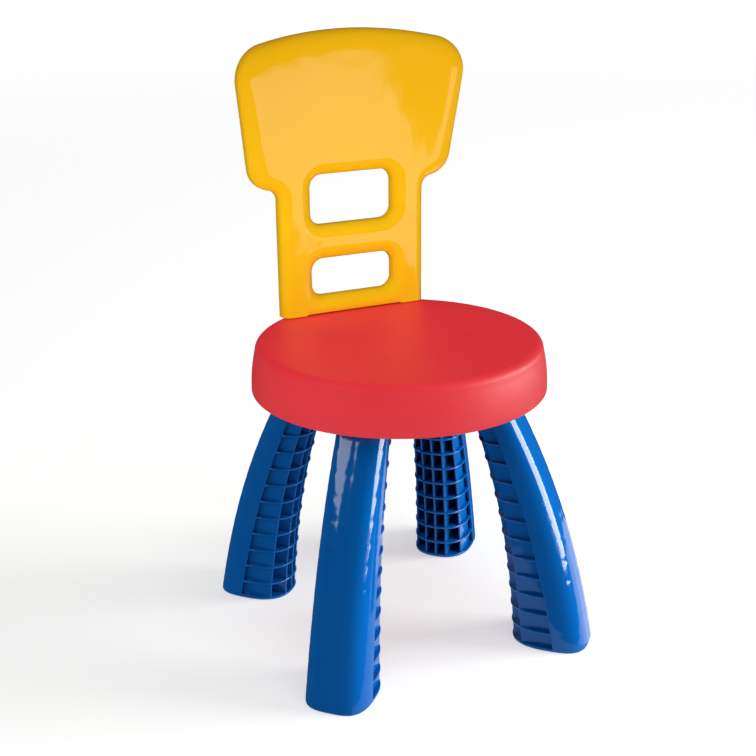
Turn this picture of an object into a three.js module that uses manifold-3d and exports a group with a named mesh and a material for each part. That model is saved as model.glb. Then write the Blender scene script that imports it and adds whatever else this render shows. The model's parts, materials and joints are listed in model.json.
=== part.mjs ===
// Child's plastic chair in knock-down form: a round moulded seat shell, a backrest that drops
// into two pockets at the rear of the seat, and four ribbed legs that push up into sockets under it.
// Millimetres, +Z up. The origin is on the floor under the centre of the seat. The sitter faces -Y.
import * as THREE from 'three';
import { mergeVertices } from 'three/addons/utils/BufferGeometryUtils.js';
import Module from 'manifold-3d';

const wasm = await Module();
wasm.setup();

// ---------------------------------------------------------------- driving dimensions
const GAP = 0.3;                 // clearance between two pieces that touch
const WALL = 3;                  // moulded wall thickness

// seat
const SEAT_TOP = 290.4;          // height of the sitting surface
const SEAT_RIM = 244.3;          // height of the skirt's lower edge
const RIM_RADIUS = 140;          // skirt radius at its lower edge
const TOP_RADIUS = 133.7;        // skirt radius carried up to the sitting surface
const EDGE_RADIUS = 8;           // rounding between sitting surface and skirt
const RIM_ROUNDING = 1.5;        // rounding of the skirt's lower edge
const TOP_WALL = 3.5;            // thickness of the sitting surface
const RIB_DEPTH = 14;            // height of the stiffening ribs under the seat
const RIB_WALL = 2.4;            // their thickness
const HUB_RADIUS = 22;           // ring that the ribs meet at the centre
const LATHE_SEGMENTS = 40;
const EDGE_STEPS = 3;

// leg: an arched box section that tapers upwards, given as polynomials of t = z / SEAT_RIM
const LEG_CENTRE = [156.4, -30.47, -23.74, -15.24];    // distance of the section from the chair's axis
const LEG_HALF_DEPTH = [37.37, -12.96, -2.57];         // half-size along the radius
const LEG_HALF_WIDTH = [30.88, -8.65, 1.29];           // half-size across it
const OUTER_POWER = 3.14;        // superellipse exponent of the outer half of the section
const INNER_POWER = 2.44;        // and of the inner half
const SHOULDER = 250;            // height where the leg's body ends and its spigot begins
const SHOULDER_WALL = 4;
const LEG_RIB_PITCH = 18.5;      // spacing of the leg's level ribs
const LEG_RIB_COUNT = 13;
const LEG_RIB_WALL = 2;
const MIN_SLIT = 1;              // the narrowest slit moulded beside the outer uprights
const INNER_UPRIGHT = 11;        // offset of the two intermediate upright ribs
const OUTER_UPRIGHT = 0.8;       // offset of the two outermost ones, as a share of the half-width
const ARM_EDGE_LOW = 8;          // where the smooth outer shell stops, out from the section's centre, at the foot
const ARM_EDGE_HIGH = 165;       // height above which it stops level with the centre
const LEG_STEPS = 5;
const SECTION_SEGMENTS = 16;

// the spigot on top of a leg, and the ear that its screw passes through
const SPIGOT_CENTRE = 84;        // distance from the chair's axis
const SPIGOT_HALF_DEPTH = 16;
const SPIGOT_HALF_WIDTH = 17.5;
const SPIGOT_TOP = 284;
const SPIGOT_CORNER = 5;
const EAR_CENTRE = 55;
const EAR_RADIUS = 9;

// screws
const SHANK_RADIUS = 1.75;
const HEAD_RADIUS = 4.2;
const HEAD_HEIGHT = 2.6;
const CLEARANCE_HOLE = 2.3;      // radius of the hole a screw passes through
const PILOT_HOLE = SHANK_RADIUS + GAP;
const BOSS_RADIUS = 5;
const LEG_SCREW_TIP = 268;
const BACK_SCREW_TIP = 274;
const PILOT_EXTRA = 4;           // depth of a pilot hole past the screw's tip

// backrest, in its own front view: x across, z up
const BACK_MIDDLE = 106;         // distance of its middle plane behind the chair's axis
const BACK_THICKNESS = 14;
const NECK_HALF = 77;
const SHOULDER_FILLET = 11.2;    // inside rounding between neck and panel
const PANEL_LOW_CENTRE = [82, 443.2];
const PANEL_LOW_RADIUS = 24.9;
const PANEL_FLARE = THREE.MathUtils.degToRad(7.1);     // outward lean of the panel's sides
const PANEL_CORNER = 33;
const ARCH_TOP = 564.5;
const ARCH_RADIUS = 410;
const WING_BEND = 13;            // how far forward the panel's edges curve
const WING_REACH = 116;          // half-width at which they reach it
const WINDOW_HALF = 43.5;
const WINDOW_CORNER = 12;
const UPPER_WINDOW = [379.7, 429.2];
const LOWER_WINDOW = [308.3, 346];
const PANEL_RIBS_X = [-76, -38, 0, 38, 76];
const PANEL_RIBS_Z = [474, 519];
const NECK_RIBS_X = [-47, 0, 47];

// the backrest's two tongues
const TONGUE_X = [52, 70];
const TONGUE_Y = [101.5, 109.5];
const TONGUE_END = 258;
const POCKET_FLOOR = 255;

// ---------------------------------------------------------------- solids and booleans
function withoutEmptyFaces(index, position) {
  const kept = [];
  for (let i = 0; i < index.count; i += 3) {
    const [a, b, c] = [index.getX(i), index.getX(i + 1), index.getX(i + 2)];
    if (a !== b && b !== c && c !== a) kept.push(a, b, c);
  }
  return signedVolume(kept, position) < 0 ? kept.reverse() : kept;
}

function signedVolume(faces, position) {
  const [a, b, c] = [new THREE.Vector3(), new THREE.Vector3(), new THREE.Vector3()];
  let sum = 0;
  for (let i = 0; i < faces.length; i += 3) {
    a.fromBufferAttribute(position, faces[i]);
    b.fromBufferAttribute(position, faces[i + 1]);
    c.fromBufferAttribute(position, faces[i + 2]);
    sum += a.dot(b.cross(c));
  }
  return sum;
}

function solid(geometry) {
  const bare = geometry.clone();
  bare.deleteAttribute('normal');
  bare.deleteAttribute('uv');
  const merged = mergeVertices(bare, 1e-4);
  const position = merged.getAttribute('position');
  const faces = withoutEmptyFaces(merged.getIndex(), position);
  return new wasm.Manifold(new wasm.Mesh({
    numProp: 3,
    vertProperties: new Float32Array(position.array),
    triVerts: new Uint32Array(faces),
  }));
}

function union(solids) {
  return solids.reduce((whole, next) => whole.add(next));
}

function geometryOf(body) {
  const mesh = body.getMesh();
  const geometry = new THREE.BufferGeometry();
  geometry.setAttribute('position', new THREE.BufferAttribute(mesh.vertProperties, 3));
  geometry.setIndex(new THREE.BufferAttribute(mesh.triVerts, 1));
  geometry.computeVertexNormals();
  return geometry;
}

// moves every vertex of a geometry to where place(point) puts it
function warp(geometry, place) {
  const position = geometry.getAttribute('position');
  const point = new THREE.Vector3();
  for (let i = 0; i < position.count; i++) {
    point.fromBufferAttribute(position, i);
    const [x, y, z] = place(point);
    position.setXYZ(i, x, y, z);
  }
  return geometry;
}

// ---------------------------------------------------------------- simple shapes
function block(x, y, z) {
  const box = new THREE.BoxGeometry(x[1] - x[0], y[1] - y[0], z[1] - z[0]);
  return solid(box.translate((x[0] + x[1]) / 2, (y[0] + y[1]) / 2, (z[0] + z[1]) / 2));
}

function rod(x, y, radius, low, high, segments = 12) {
  const cylinder = new THREE.CylinderGeometry(radius, radius, high - low, segments);
  return solid(cylinder.rotateX(Math.PI / 2).translate(x, y, (low + high) / 2));
}

function roundedRectangle(x, y, corner) {
  const shape = new THREE.Shape();
  shape.absarc(x[1] - corner, y[0] + corner, corner, -Math.PI / 2, 0);
  shape.absarc(x[1] - corner, y[1] - corner, corner, 0, Math.PI / 2);
  shape.absarc(x[0] + corner, y[1] - corner, corner, Math.PI / 2, Math.PI);
  shape.absarc(x[0] + corner, y[0] + corner, corner, Math.PI, Math.PI * 1.5);
  shape.closePath();
  return shape;
}

// a plan-view shape pulled up between two heights
function upright(shape, low, high, curveSegments = 3) {
  const pulled = new THREE.ExtrudeGeometry(shape, { depth: high - low, bevelEnabled: false, curveSegments });
  return solid(pulled.translate(0, 0, low));
}

// a front-view shape (x, z) pulled backwards between two distances
function fore(shape, front, back, curveSegments = 4) {
  const pulled = new THREE.ExtrudeGeometry(shape, { depth: back - front, bevelEnabled: false, curveSegments });
  return solid(pulled.rotateX(Math.PI / 2).translate(0, back, 0));
}

// ---------------------------------------------------------------- seat
function skirtRadius(z) {
  const share = (z - SEAT_RIM) / (SEAT_TOP - SEAT_RIM);
  return RIM_RADIUS + (TOP_RADIUS - RIM_RADIUS) * share;
}

// the outside of the seat, or the inside when inset, from the axis down to its lower edge
function seatProfile(inset, top) {
  const radius = EDGE_RADIUS - inset * 0.5;
  const points = [new THREE.Vector2(0, top)];
  const centreR = skirtRadius(top - radius) - inset - radius;
  for (let i = 0; i <= EDGE_STEPS; i++) {
    const angle = Math.PI / 2 * (1 - i / EDGE_STEPS);
    const [r, z] = [centreR + radius * Math.cos(angle), top - radius + radius * Math.sin(angle)];
    points.push(new THREE.Vector2(r, z));
  }
  return points;
}

function lathe(points) {
  return solid(new THREE.LatheGeometry(points, LATHE_SEGMENTS).rotateX(Math.PI / 2));
}

function seatOutline() {
  return [
    ...seatProfile(0, SEAT_TOP),
    new THREE.Vector2(skirtRadius(SEAT_RIM + RIM_ROUNDING), SEAT_RIM + RIM_ROUNDING),
    new THREE.Vector2(RIM_RADIUS - RIM_ROUNDING * 0.5, SEAT_RIM),
  ];
}

function seatEnvelope() {
  return lathe([...seatOutline(), new THREE.Vector2(0, SEAT_RIM)]);
}

function seatShell() {
  const inside = seatProfile(WALL, SEAT_TOP - TOP_WALL).reverse();
  return lathe([...seatOutline(), new THREE.Vector2(RIM_RADIUS - WALL, SEAT_RIM), ...inside]);
}

function seatRibs() {
  const low = SEAT_TOP - TOP_WALL - RIB_DEPTH;
  const high = SEAT_TOP - 1;
  const ribs = [rod(0, 0, HUB_RADIUS, low, high, 24).subtract(rod(0, 0, HUB_RADIUS - RIB_WALL, low - 1, high, 24))];
  for (let i = 0; i < 8; i++) {
    const rib = block([HUB_RADIUS - 1, RIM_RADIUS - 4], [-RIB_WALL / 2, RIB_WALL / 2], [low, high]);
    ribs.push(rib.rotate([0, 0, i * 45]));
  }
  return ribs;
}

function atLeg(body, index) {
  return body.rotate([0, 0, LEG_ANGLES[index]]);
}

function spigotOutline(grow, corner) {
  const x = [SPIGOT_CENTRE - SPIGOT_HALF_DEPTH - grow, SPIGOT_CENTRE + SPIGOT_HALF_DEPTH + grow];
  const y = [-SPIGOT_HALF_WIDTH - grow, SPIGOT_HALF_WIDTH + grow];
  return roundedRectangle(x, y, corner);
}

function pocket(side, grow, low, high) {
  const x = [side * TONGUE_X[0] - side * grow, side * TONGUE_X[1] + side * grow].sort((a, b) => a - b);
  return block(x, [TONGUE_Y[0] - grow, TONGUE_Y[1] + grow], [low, high]);
}

function tongueCentre(side) {
  return [side * (TONGUE_X[0] + TONGUE_X[1]) / 2, (TONGUE_Y[0] + TONGUE_Y[1]) / 2];
}

function seat() {
  const low = SHOULDER + GAP;
  const high = SEAT_TOP - 1;
  const added = seatRibs();
  const removed = [];
  for (let i = 0; i < LEG_ANGLES.length; i++) {
    added.push(atLeg(upright(spigotOutline(GAP + WALL, SPIGOT_CORNER + WALL), low, high), i));
    added.push(atLeg(rod(EAR_CENTRE, 0, BOSS_RADIUS, low, high), i));
    added.push(atLeg(block([EAR_CENTRE, SPIGOT_CENTRE - SPIGOT_HALF_DEPTH], [-1.2, 1.2], [low, high]), i));
    removed.push(atLeg(upright(spigotOutline(GAP, SPIGOT_CORNER), low - 1, SEAT_TOP - TOP_WALL), i));
    removed.push(atLeg(rod(EAR_CENTRE, 0, PILOT_HOLE, low - 1, LEG_SCREW_TIP + PILOT_EXTRA, 12), i));
  }
  for (const side of [-1, 1]) {
    const [x, y] = tongueCentre(side);
    added.push(pocket(side, GAP + WALL, POCKET_FLOOR - WALL, high));
    removed.push(pocket(side, GAP, POCKET_FLOOR, SEAT_TOP + 1));
    removed.push(rod(x, y, CLEARANCE_HOLE, POCKET_FLOOR - WALL - 1, POCKET_FLOOR + 1));
  }
  const filled = seatShell().add(union(added).intersect(seatEnvelope()));
  return filled.subtract(union(removed));
}

// ---------------------------------------------------------------- legs
function polynomial(coefficients, t) {
  return coefficients.reduceRight((sum, c) => sum * t + c, 0);
}

function section(z) {
  const t = z / SEAT_RIM;
  return {
    centre: polynomial(LEG_CENTRE, t),
    depth: polynomial(LEG_HALF_DEPTH, t),
    width: polynomial(LEG_HALF_WIDTH, t),
  };
}

function power(value, exponent) {
  return Math.sign(value) * Math.abs(value) ** exponent;
}

// a point of the leg's section outline: angle 0 faces outwards
function outlinePoint(z, angle) {
  const { centre, depth, width } = section(z);
  const exponent = 2 / (Math.cos(angle) >= 0 ? OUTER_POWER : INNER_POWER);
  const u = depth * power(Math.cos(angle), exponent);
  const v = width * power(Math.sin(angle), exponent);
  return [centre + u, v, z];
}

// distance of the outer wall's inside face from the section's centre, at an offset v across
function wallInside(z, v) {
  const { depth, width } = section(z);
  const share = Math.min(1, Math.abs(v) / (width - WALL));
  return (depth - WALL) * (1 - share ** OUTER_POWER) ** (1 / OUTER_POWER);
}

// where the smooth outer shell stops, out from the section's centre
function armEdge(z) {
  return ARM_EDGE_LOW * Math.max(0, 1 - z / ARM_EDGE_HIGH);
}

function outerUpright(z) {
  return OUTER_UPRIGHT * section(z).width;
}

function legBody() {
  const body = new THREE.CylinderGeometry(1, 1, SHOULDER, SECTION_SEGMENTS, LEG_STEPS).rotateX(Math.PI / 2);
  return solid(warp(body, (p) => {
    const z = p.z + SHOULDER / 2;
    const onAxis = Math.hypot(p.x, p.y) < 0.5;
    return onAxis ? [section(z).centre, 0, z] : outlinePoint(z, Math.atan2(p.y, p.x));
  }));
}

// one cell of the lattice: near and far bound it across, deep(z, v) bounds it outwards
function cell(low, high, near, far, open, deep) {
  return solid(warp(new THREE.BoxGeometry(1, 1, 1), (p) => {
    const z = p.z < 0 ? low : high;
    const v = p.y < 0 ? near(z) : far(z);
    return [section(z).centre + (p.x < 0 ? open(z) : deep(z, v)), v, z];
  }));
}

function latticeCells(low, high) {
  const half = LEG_RIB_WALL / 2;
  const beyond = (z) => -section(z).depth - WALL;
  const cells = [
    cell(low, high, () => half, () => INNER_UPRIGHT - half, beyond, wallInside),
    cell(low, high, () => INNER_UPRIGHT + half, (z) => outerUpright(z) - half, beyond, wallInside),
    cell(low, high, (z) => outerUpright(z) + half, (z) => section(z).width + WALL, beyond, armEdge),
  ];
  const slit = (z) => section(z).width - WALL - outerUpright(z) - half;
  if (slit(high) > MIN_SLIT) {
    const deep = (z, v) => Math.max(armEdge(z) + half, wallInside(z, v));
    const mouth = (z) => armEdge(z) - half;
    cells.push(cell(low, high, (z) => outerUpright(z) + half, (z) => section(z).width - WALL, mouth, deep));
  }
  return cells;
}

function lattice() {
  const cells = [];
  for (let k = 0; k <= LEG_RIB_COUNT; k++) {
    const low = k === 0 ? WALL : k * LEG_RIB_PITCH + LEG_RIB_WALL / 2;
    const high = Math.min((k + 1) * LEG_RIB_PITCH - LEG_RIB_WALL / 2, SHOULDER - SHOULDER_WALL);
    cells.push(...latticeCells(low, high));
  }
  const side = union(cells);
  return side.add(side.mirror([0, 1, 0]));
}

function ear() {
  const reach = SPIGOT_CENTRE - SPIGOT_HALF_DEPTH;
  const shape = new THREE.Shape();
  shape.moveTo(reach, -EAR_RADIUS);
  shape.lineTo(reach, EAR_RADIUS);
  shape.lineTo(EAR_CENTRE, EAR_RADIUS);
  shape.absarc(EAR_CENTRE, 0, EAR_RADIUS, Math.PI / 2, Math.PI * 1.5);
  shape.closePath();
  return upright(shape, SHOULDER - SHOULDER_WALL, SHOULDER, 8);
}

function spigot() {
  const tube = upright(spigotOutline(0, SPIGOT_CORNER), SHOULDER - 1, SPIGOT_TOP);
  return tube.subtract(upright(spigotOutline(-WALL, SPIGOT_CORNER - WALL + 1), SHOULDER, SPIGOT_TOP + 1));
}

function leg() {
  const hole = rod(EAR_CENTRE, 0, CLEARANCE_HOLE, SHOULDER - SHOULDER_WALL - 1, SHOULDER + 1);
  return legBody().add(ear()).subtract(union([lattice(), hole])).add(spigot());
}

// ---------------------------------------------------------------- screws
// a pan-head screw pointing up, its head's seat at the origin
function screw(length) {
  const half = HEAD_HEIGHT / 2;
  const points = [
    new THREE.Vector2(0, length),
    new THREE.Vector2(SHANK_RADIUS * 0.3, length),
    new THREE.Vector2(SHANK_RADIUS, length - 3),
    new THREE.Vector2(SHANK_RADIUS, 0),
    new THREE.Vector2(HEAD_RADIUS, 0),
    new THREE.Vector2(HEAD_RADIUS, -half),
    new THREE.Vector2(HEAD_RADIUS * 0.7, -HEAD_HEIGHT),
    new THREE.Vector2(0, -HEAD_HEIGHT),
  ];
  const body = solid(new THREE.LatheGeometry(points, 12).rotateX(Math.PI / 2));
  const slot = [-2.4, 2.4];
  const blade = [-0.5, 0.5];
  const depth = [-HEAD_HEIGHT - 1, -1];
  return body.subtract(block(slot, blade, depth).add(block(blade, slot, depth)));
}

// ---------------------------------------------------------------- backrest
// centre of the arc that rounds the panel's upper corner: it touches the side line and the arch
function panelCornerCentre() {
  const [sin, cos] = [Math.sin(PANEL_FLARE), Math.cos(PANEL_FLARE)];
  const side = cos * PANEL_LOW_CENTRE[0] - sin * PANEL_LOW_CENTRE[1] + PANEL_LOW_RADIUS - PANEL_CORNER;
  const reach = ARCH_RADIUS - PANEL_CORNER;
  const archZ = ARCH_TOP - ARCH_RADIUS;
  const k = side + sin * archZ;
  const rise = -k * sin + Math.sqrt(k * k * sin * sin + reach * reach * cos * cos - k * k);
  return [(k + sin * rise) / cos, archZ + rise];
}

// front view of the backrest, shrunk by inset all round
function backOutline(inset, bottom) {
  const shape = new THREE.Shape();
  const fillet = SHOULDER_FILLET + inset;
  const low = PANEL_LOW_RADIUS - inset;
  const corner = PANEL_CORNER - inset;
  const arch = ARCH_RADIUS - inset;
  const filletX = NECK_HALF + SHOULDER_FILLET;
  const across = filletX - PANEL_LOW_CENTRE[0];
  const between = SHOULDER_FILLET + PANEL_LOW_RADIUS;
  const filletZ = PANEL_LOW_CENTRE[1] - Math.sqrt(between * between - across * across);
  const turn = Math.atan2(PANEL_LOW_CENTRE[1] - filletZ, -across);
  const [cornerX, cornerZ] = panelCornerCentre();
  const archZ = ARCH_TOP - ARCH_RADIUS;
  const crown = Math.atan2(cornerZ - archZ, cornerX);
  shape.moveTo(-NECK_HALF + inset, bottom);
  shape.lineTo(NECK_HALF - inset, bottom);
  shape.absarc(filletX, filletZ, fillet, Math.PI, turn, true);
  shape.absarc(PANEL_LOW_CENTRE[0], PANEL_LOW_CENTRE[1], low, turn - Math.PI, -PANEL_FLARE, false);
  shape.absarc(cornerX, cornerZ, corner, -PANEL_FLARE, crown, false);
  shape.absarc(0, archZ, arch, crown, Math.PI - crown, false);
  shape.absarc(-cornerX, cornerZ, corner, Math.PI - crown, Math.PI + PANEL_FLARE, false);
  shape.absarc(-PANEL_LOW_CENTRE[0], PANEL_LOW_CENTRE[1], low, Math.PI + PANEL_FLARE, -turn + Math.PI * 2, false);
  shape.absarc(-filletX, filletZ, fillet, Math.PI - turn, 0, true);
  shape.closePath();
  return shape;
}

// how far forward of the middle plane the panel curves at (x, z)
function wing(x, z) {
  const rise = THREE.MathUtils.smoothstep(z, 380, 530);
  return WING_BEND * (0.12 + 0.88 * rise) * (x / WING_REACH) ** 2;
}

// the curved sheet between two distances from the middle plane
function sheet(front, back, low, high) {
  const box = new THREE.BoxGeometry(2 * WING_REACH + 16, back - front, high - low, 10, 1, 6);
  box.translate(0, (front + back) / 2, (low + high) / 2);
  return solid(warp(box, (p) => [p.x, BACK_MIDDLE + p.y - wing(p.x, p.z), p.z]));
}

function windowShape([low, high], grow) {
  const half = WINDOW_HALF + grow;
  return roundedRectangle([-half, half], [low - grow, high + grow], WINDOW_CORNER + grow);
}

function rearCavity(bottom) {
  const nearFront = -BACK_THICKNESS / 2 + WALL;
  const keep = [];
  for (const opening of [UPPER_WINDOW, LOWER_WINDOW]) {
    keep.push(fore(windowShape(opening, WALL), 50, 150, 3));
  }
  for (const x of PANEL_RIBS_X) {
    keep.push(block([x - RIB_WALL / 2, x + RIB_WALL / 2], [50, 150], [UPPER_WINDOW[1], ARCH_TOP]));
  }
  for (const x of NECK_RIBS_X) {
    keep.push(block([x - RIB_WALL / 2, x + RIB_WALL / 2], [50, 150], [bottom, UPPER_WINDOW[0]]));
  }
  for (const z of PANEL_RIBS_Z) {
    keep.push(block([-WING_REACH, WING_REACH], [50, 150], [z - RIB_WALL / 2, z + RIB_WALL / 2]));
  }
  for (const z of [UPPER_WINDOW[0] + WALL, LOWER_WINDOW[1], LOWER_WINDOW[0]]) {
    keep.push(block([-NECK_HALF, NECK_HALF], [50, 150], [z - WALL, z - WALL + RIB_WALL]));
  }
  const hollow = fore(backOutline(WALL, bottom + WALL), 50, 150).subtract(union(keep));
  return hollow.intersect(sheet(nearFront, BACK_THICKNESS, bottom, ARCH_TOP + 10));
}

function backrest() {
  const bottom = SEAT_TOP + GAP;
  const half = BACK_THICKNESS / 2;
  let body = sheet(-half, half, bottom - 5, ARCH_TOP + 10).intersect(fore(backOutline(0, bottom), 50, 150));
  body = body.subtract(rearCavity(bottom));
  for (const opening of [UPPER_WINDOW, LOWER_WINDOW]) {
    body = body.subtract(fore(windowShape(opening, 0), 50, 150, 3));
  }
  for (const side of [-1, 1]) {
    const [x, y] = tongueCentre(side);
    body = body.add(pocket(side, 0, TONGUE_END, bottom + 1));
    body = body.subtract(rod(x, y, PILOT_HOLE, TONGUE_END - 1, BACK_SCREW_TIP + PILOT_EXTRA));
  }
  return body;
}

// ---------------------------------------------------------------- the chair
const LEG_ANGLES = [-135, -45, 135, 45];
const LEG_NAMES = ['front_left', 'front_right', 'rear_left', 'rear_right'];

const RED_PLASTIC = { color: 0xde3b3c, roughness: 0.45, metalness: 0 };
const YELLOW_PLASTIC = { color: 0xf4b414, roughness: 0.35, metalness: 0 };
const BLUE_PLASTIC = { color: 0x00509c, roughness: 0.2, metalness: 0 };
const STEEL = { color: 0xb8babd, roughness: 0.3, metalness: 1 };

function piece(name, geometry, finish) {
  const mesh = new THREE.Mesh(geometry, new THREE.MeshStandardMaterial(finish));
  mesh.name = name;
  return mesh;
}

const group = new THREE.Group();
group.add(piece('seat', geometryOf(seat()), RED_PLASTIC));
group.add(piece('backrest', geometryOf(backrest()), YELLOW_PLASTIC));

const legGeometry = geometryOf(leg());
const legScrewSeat = SHOULDER - SHOULDER_WALL - GAP;
const legScrewGeometry = geometryOf(screw(LEG_SCREW_TIP - legScrewSeat));
for (let i = 0; i < LEG_NAMES.length; i++) {
  const corner = new THREE.Group();
  corner.rotation.z = THREE.MathUtils.degToRad(LEG_ANGLES[i]);
  corner.add(piece(`${LEG_NAMES[i]}_leg`, legGeometry, BLUE_PLASTIC));
  const legScrew = piece(`${LEG_NAMES[i]}_leg_screw`, legScrewGeometry, STEEL);
  legScrew.position.set(EAR_CENTRE, 0, legScrewSeat);
  corner.add(legScrew);
  group.add(corner);
}

const backScrewSeat = POCKET_FLOOR - WALL - GAP;
const backScrewGeometry = geometryOf(screw(BACK_SCREW_TIP - backScrewSeat));
for (const side of [-1, 1]) {
  const [x, y] = tongueCentre(side);
  const backScrew = piece(side < 0 ? 'left_backrest_screw' : 'right_backrest_screw', backScrewGeometry, STEEL);
  backScrew.position.set(x, y, backScrewSeat);
  group.add(backScrew);
}

export default group;
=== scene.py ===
"""The looks of the child's chair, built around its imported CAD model. Lengths are in millimetres until a
mesh is made, and every mesh is in metres, in the CAD model's frame: +Z up, the sitter faces -Y."""

import json
from math import atan2, ceil, cos, exp, pi, radians, sin, sqrt, tan

import bmesh
import bpy
import numpy as np
from mathutils import Matrix, Vector
from mathutils.geometry import delaunay_2d_cdt

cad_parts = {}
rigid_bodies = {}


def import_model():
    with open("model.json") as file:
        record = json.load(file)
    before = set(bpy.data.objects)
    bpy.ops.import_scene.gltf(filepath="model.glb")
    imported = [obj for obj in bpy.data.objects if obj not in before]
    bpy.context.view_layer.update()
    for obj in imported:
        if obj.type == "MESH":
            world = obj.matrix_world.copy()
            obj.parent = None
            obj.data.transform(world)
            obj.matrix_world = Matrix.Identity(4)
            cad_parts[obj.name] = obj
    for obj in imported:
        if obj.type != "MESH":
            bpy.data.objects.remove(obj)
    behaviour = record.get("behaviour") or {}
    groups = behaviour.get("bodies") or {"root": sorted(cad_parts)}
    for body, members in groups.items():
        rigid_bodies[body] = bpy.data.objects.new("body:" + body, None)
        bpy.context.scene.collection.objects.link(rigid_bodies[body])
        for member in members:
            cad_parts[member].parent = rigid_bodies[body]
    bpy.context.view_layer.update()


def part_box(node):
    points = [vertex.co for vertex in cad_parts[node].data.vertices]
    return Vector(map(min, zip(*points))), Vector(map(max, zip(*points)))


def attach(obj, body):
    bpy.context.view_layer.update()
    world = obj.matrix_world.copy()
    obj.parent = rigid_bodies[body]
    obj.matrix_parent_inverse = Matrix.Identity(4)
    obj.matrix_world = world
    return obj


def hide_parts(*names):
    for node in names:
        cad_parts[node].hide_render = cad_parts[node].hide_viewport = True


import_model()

MM = 0.001


def node_box(name):
    low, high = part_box(name)
    return np.array(low) / MM, np.array(high) / MM


# ---- dimensions taken from the frame
seat_low, seat_high = node_box("seat")
back_low, back_high = node_box("backrest")
leg_high = node_box("front_left_leg")[1]

SEAT_TOP = seat_high[2]
SEAT_RIM = seat_low[2]
RIM_RADIUS = seat_high[0]
SPIGOT_TOP = leg_high[2]
ARCH_TOP = back_high[2]
BACK_REAR = back_high[1]
TONGUE_END = back_low[2]

# ---- driving dimensions
GAP = 0.3  # play between pieces that slide into each other
WALL = 3.0
OVERLAP = 1  # how far joined and cutting shapes reach past each other
HAIR = 0.01  # keeps the faces of joined shapes from coinciding
EDGE_SOFT = 0.6  # rounding of the ribs, hub, bosses and ears
SOCKET_ROUNDING = 0.8  # of the sockets, pockets and tongues

# seat
TOP_RADIUS = 133.5
TOP_RINGS = (0, 0.25, 0.5, 0.75)
EDGE_RADIUS = 8.0
EDGE_STEPS = 10
SKIRT_STEPS = 8
SKIRT_BULGE = 1.8
RIM_ROUNDING = 1.2
RIM_CHAMFER = 0.3
SEAT_SEGMENTS = 192
TOP_WALL = 3.5
SEAT_RIB_DEPTH = 14.0
SEAT_RIB_WALL = 2.4
SEAT_RIB_COUNT = 8
SEAT_RIB_END = 4  # how far inside the skirt's radius they end
SEAT_RIB_ROUNDING = 0.5
HUB_RADIUS = 22.0
HUB_SEGMENTS = 96
HUB_ROOF = 0.5
WEB_LIFT = 0.5  # the webs between boss and socket
WEB_ROUNDING = 0.3
POCKET_FLOOR = 255.0
POCKET_ROUNDING = 0.5
POCKET_RISE = 5  # how far the pocket's cutter passes the seat's top

# leg sections, as polynomials of t = z / SEAT_RIM
LEG_CENTRE = (156.4, -30.47, -23.74, -15.24)
LEG_HALF_DEPTH = (37.37, -12.96, -2.57)
LEG_HALF_WIDTH = (30.88, -8.65, 1.29)
OUTER_POWER = 3.14
INNER_POWER = 2.44
SECTION_POINTS = 1440
SHELL_POINTS = 72
SHELL_STEPS = 8  # loops for each rib pitch
LAST_LOOP = 0.5  # none is nearer to the shoulder than this
PLATE_POINTS = 112
SHOULDER = 250.0
SHOULDER_WALL = 4.0
LEG_RIB_PITCH = 18.5
LEG_RIB_COUNT = 13
LEG_RIB_WALL = 2.0
BURIED_DEPTH = 2.0  # how far a level rib draws back inside the shell
BURIED_START = 0.2
BURIED_WIDTH = 2.5
FLAT_ROUNDING = 0.4
UPRIGHT_INSET = 1.2
UPRIGHT_BURIED = 0.6  # share of the shell's wall that an upright rib leaves
UPRIGHT_LOW = 0.6
UPRIGHT_STEPS = 56
INNER_UPRIGHT = 11.0
OUTER_UPRIGHT = 0.8
ARM_EDGE_LOW = 8.0
ARM_EDGE_HIGH = 165.0
FOOT_ROUNDING = 1.6
SINK_DEPTH = 0.16
SINK_REACH = 2.2
UPRIGHT_SINK = 0.6  # the sink marks over the upright ribs are fainter

SPIGOT_CENTRE = 84.0
SPIGOT_HALF_DEPTH = 16.0
SPIGOT_HALF_WIDTH = 17.5
SPIGOT_CORNER = 5.0
SPIGOT_INNER_CORNER = 3.0
SPIGOT_ROUNDING = 0.9
EAR_CENTRE = 55.0
EAR_RADIUS = 9.0

# screws
SHANK_RADIUS = 1.75
SHANK_SEGMENTS = 24
PLAIN_RADIUS = 1.5  # the plain piece of shank under the head
PLAIN_ENDS = (-0.5, 1.0)
TIP_RADIUS = 0.15
TIP_TAPER = 3.0
TIP_SHARE = 0.45  # the core's radius at the tip
HEAD_RADIUS = 4.2
HEAD_HEIGHT = 2.6
HEAD_SIDE = 0.7
HEAD_CHAMFER = 0.15
HEAD_DOME = (12, 84, 9)  # degrees from, degrees to, points
HEAD_FULLNESS = 0.8
HEAD_SEGMENTS = 48
CROSS_HALF_LENGTH = 2.4
CROSS_HALF_WIDTH = 0.45
CROSS_FLOOR = -1.0
CROSS_ROUNDING = 0.1
THREAD_PITCH = 1.6
THREAD_DEPTH = 0.4
THREAD_START = 1.5
THREAD_END = 4  # length of the screw without thread
THREAD_STEPS = 8
CLEARANCE_HOLE = 2.3
PILOT_HOLE = SHANK_RADIUS + GAP
BOSS_RADIUS = 5.0
LEG_SCREW_TIP = 268.0
BACK_SCREW_TIP = 274.0
PILOT_EXTRA = 4.0

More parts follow.
